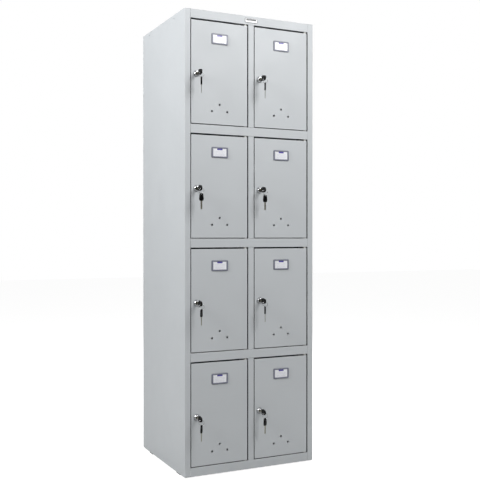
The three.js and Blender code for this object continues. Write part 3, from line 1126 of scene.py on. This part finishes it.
def camScrew(values):
    start = values["camFrom"] + values["camThickness"] + values["screwOff"]
    radius, height = values["screwRadius"], values["screwHead"]
    slotHalf, slotDepth = values["screwSlot"]
    head = rod(radius, height, 6, values["camRounding"])
    slotCut = box((-slotHalf, height - slotDepth, -radius - past), (slotHalf, height + past, radius + past))
    return moved(combined(head, [slotCut], "DIFFERENCE"), y=start)


def keyHead(values):
    # drawn upright in the plane seen along Y, its flat foot at zero height
    thickness, top = values["headThickness"], values["headTop"]
    corner, shoulder = values["footCorner"], values["shoulder"]
    foot, side = values["footWidth"] / 2 - corner, values["headWidth"] / 2 - shoulder
    places = [
        (foot, corner, corner), (-foot, corner, corner),
        (side, values["widestAt"], shoulder), (-side, values["widestAt"], shoulder),
        (0, values["headLength"] - top, top),
    ]
    bm = hull([moved(rod(radius, thickness, 24), x, 0, z) for x, z, radius in places])
    moved(bm, y=-thickness / 2)
    roundEdges(bm, flatRims(bm), values["headRounding"], 3)
    # a shallow finger panel in each face, and the hole for the ring
    front, depthOfPanel = -thickness / 2 - past, values["panelDepth"]
    cutters = [moved(rod(values["holeRadius"], thickness + 2 * past, 32), 0, front, values["holeAt"])]
    for y in (front, thickness / 2 - depthOfPanel):
        ends = [moved(rod(radius, depthOfPanel + past, 24), 0, y, z) for z, radius in values["panelEnds"]]
        cutters.append(hull(ends))
    return combined(bm, cutters, "DIFFERENCE")


def keyBlade(values, length, cuts):
    # hangs down from zero height, under the head, with a groove along each face
    side, thin = values["bladeWidth"] / 2, values["bladeThickness"] / 2
    bm = box((-side, -thin, -length), (side, thin, values["bladeInHead"]), values["bladeRounding"], 1)
    groove = values["groove"]
    cutters = [
        box(
            (groove["from"], y - groove["depth"], -length - past),
            (groove["to"], y + groove["depth"], -groove["below"]),
        )
        for y in (-thin, thin)
    ]
    # each cut takes the corner of a square bar, half of whose diagonal is the reach
    half, reachOfCorner = 2, 2.83
    through = values["bladeThickness"] + past
    for along, depthOfCut in cuts:
        notch = box((-half, -through, -half), (half, through, half))
        notch.transform(Matrix.Rotation(math.radians(45), 4, "Y"))
        cutters.append(moved(notch, side + reachOfCorner - depthOfCut, 0, -along))
    if cuts:
        tip = values["tip"]
        for side in (-1, 1):
            cutter = box(
                (-tip["cutter"], -through, -tip["cutter"]), (tip["cutter"], through, tip["cutter"]),
            )
            cutter.transform(Matrix.Rotation(math.radians(tip["angle"] * side), 4, "Y"))
            cutters.append(moved(cutter, side * tip["across"], 0, -length - tip["past"]))
    return combined(bm, cutters, "DIFFERENCE")


def keyRing(values):
    # split ring: one wire wound nearly twice, hung from the middle of the hole it passes through
    bm = bmesh.new()
    wire, turns, stepsPerTurn = values["ringWire"], values["ringTurns"], 48
    bmesh.ops.create_circle(bm, segments=10, radius=wire * mm, cap_ends=False)
    moved(bm, values["ringRadius"], -wire)
    bmesh.ops.spin(
        bm, geom=bm.verts[:] + bm.edges[:], cent=(0, 0, 0), axis=(0, 1, 0),
        dvec=(0, 2 * wire / stepsPerTurn * mm, 0), angle=2 * math.pi * turns,
        steps=round(stepsPerTurn * turns),
    )
    bmesh.ops.holes_fill(bm, edges=bm.edges, sides=12)
    bmesh.ops.recalc_face_normals(bm, faces=bm.faces)
    return moved(bm, z=-values["ringHang"] - values["ringRadius"])


bezelTemplate = lockBezel(lockSizes)
nutTemplate = lockNut(lockSizes)
plugTemplate = lockPlug(lockSizes)
camTemplate = lockCam(lockSizes)
screwTemplate = camScrew(lockSizes)
headTemplate = keyHead(keySizes)
ringTemplate = keyRing(keySizes)
spareBladeTemplate = keyBlade(keySizes, keySizes["bladeLength"], keySizes["cuts"])
shownBlade = keySizes["headStart"] - lockSizes["plugFront"] + keySizes["bladeInLock"]
insertedBlade = keyBlade(keySizes, shownBlade, [])
pointOut = Matrix.Rotation(math.radians(90), 4, "X") @ Matrix.Rotation(math.radians(90), 4, "Z")
insertedHead = headTemplate.copy()
insertedHead.transform(Matrix.Scale(keySizes["insertedWidth"] / keySizes["headWidth"], 4, (1, 0, 0)))
for bm in (insertedHead, insertedBlade):
    bm.transform(pointOut)
    moved(bm, y=-keySizes["headStart"])
hangDepth = (
    keySizes["ringHang"] + 2 * keySizes["ringRadius"] + keySizes["holeRadius"]
    - keySizes["ringWire"] + keySizes["holeAt"]
)
spareHead = moved(headTemplate.copy(), z=-hangDepth)
spareBlade = moved(spareBladeTemplate, z=-hangDepth)

for door in doors:
    name = door["name"]
    doorBody, keyBody, spareBody = "door_" + name, "key_" + name, "spare_" + name
    at, hung = door["lock"], door["keyHole"]
    turn = spareTurns[name]
    ringTurn = (turn - 90) / 2  # half way between the two holes it passes through
    finishPiece(
        "lock_bezel_" + name, placed(bezelTemplate, at), doorBody, "chrome",
        ["lock_body_" + name],
    )
    finishPiece("lock_nut_" + name, placed(nutTemplate, at), doorBody, "zinc")
    finishPiece("lock_plug_" + name, placed(plugTemplate, at), keyBody, "chrome")
    finishPiece("lock_cam_" + name, placed(camTemplate, at), keyBody, "zinc")
    finishPiece("cam_screw_" + name, placed(screwTemplate, at), keyBody, "zinc")
    finishPiece(
        "key_head_" + name, placed(insertedHead, at), keyBody, "black",
        ["lock_core_" + name],
    )
    finishPiece("key_blade_" + name, placed(insertedBlade, at), keyBody, "keyMetal")
    finishPiece("key_ring_" + name, placed(ringTemplate, hung, ringTurn), spareBody, "wire")
    finishPiece(
        "spare_head_" + name, placed(spareHead, hung, turn), spareBody, "black",
        ["spare_key_" + name],
    )
    finishPiece("spare_blade_" + name, placed(spareBlade, hung, turn), spareBody, "keyMetal")
print("locks and keys made")


backPanel = frame["nodes"]["back_panel"]
backPanel.data.materials.clear()
backPanel.data.materials.append(materials["paint"])

bm = bmesh.new()
bmesh.ops.create_grid(bm, x_segments=1, y_segments=1, size=studio["floorReach"])
mesh = bpy.data.meshes.new("floor")
bm.to_mesh(mesh)
bm.free()
mesh.materials.append(materials["floor"])
floor = bpy.data.objects.new("floor", mesh)
scene.collection.objects.link(floor)
print("back panel painted and floor laid")
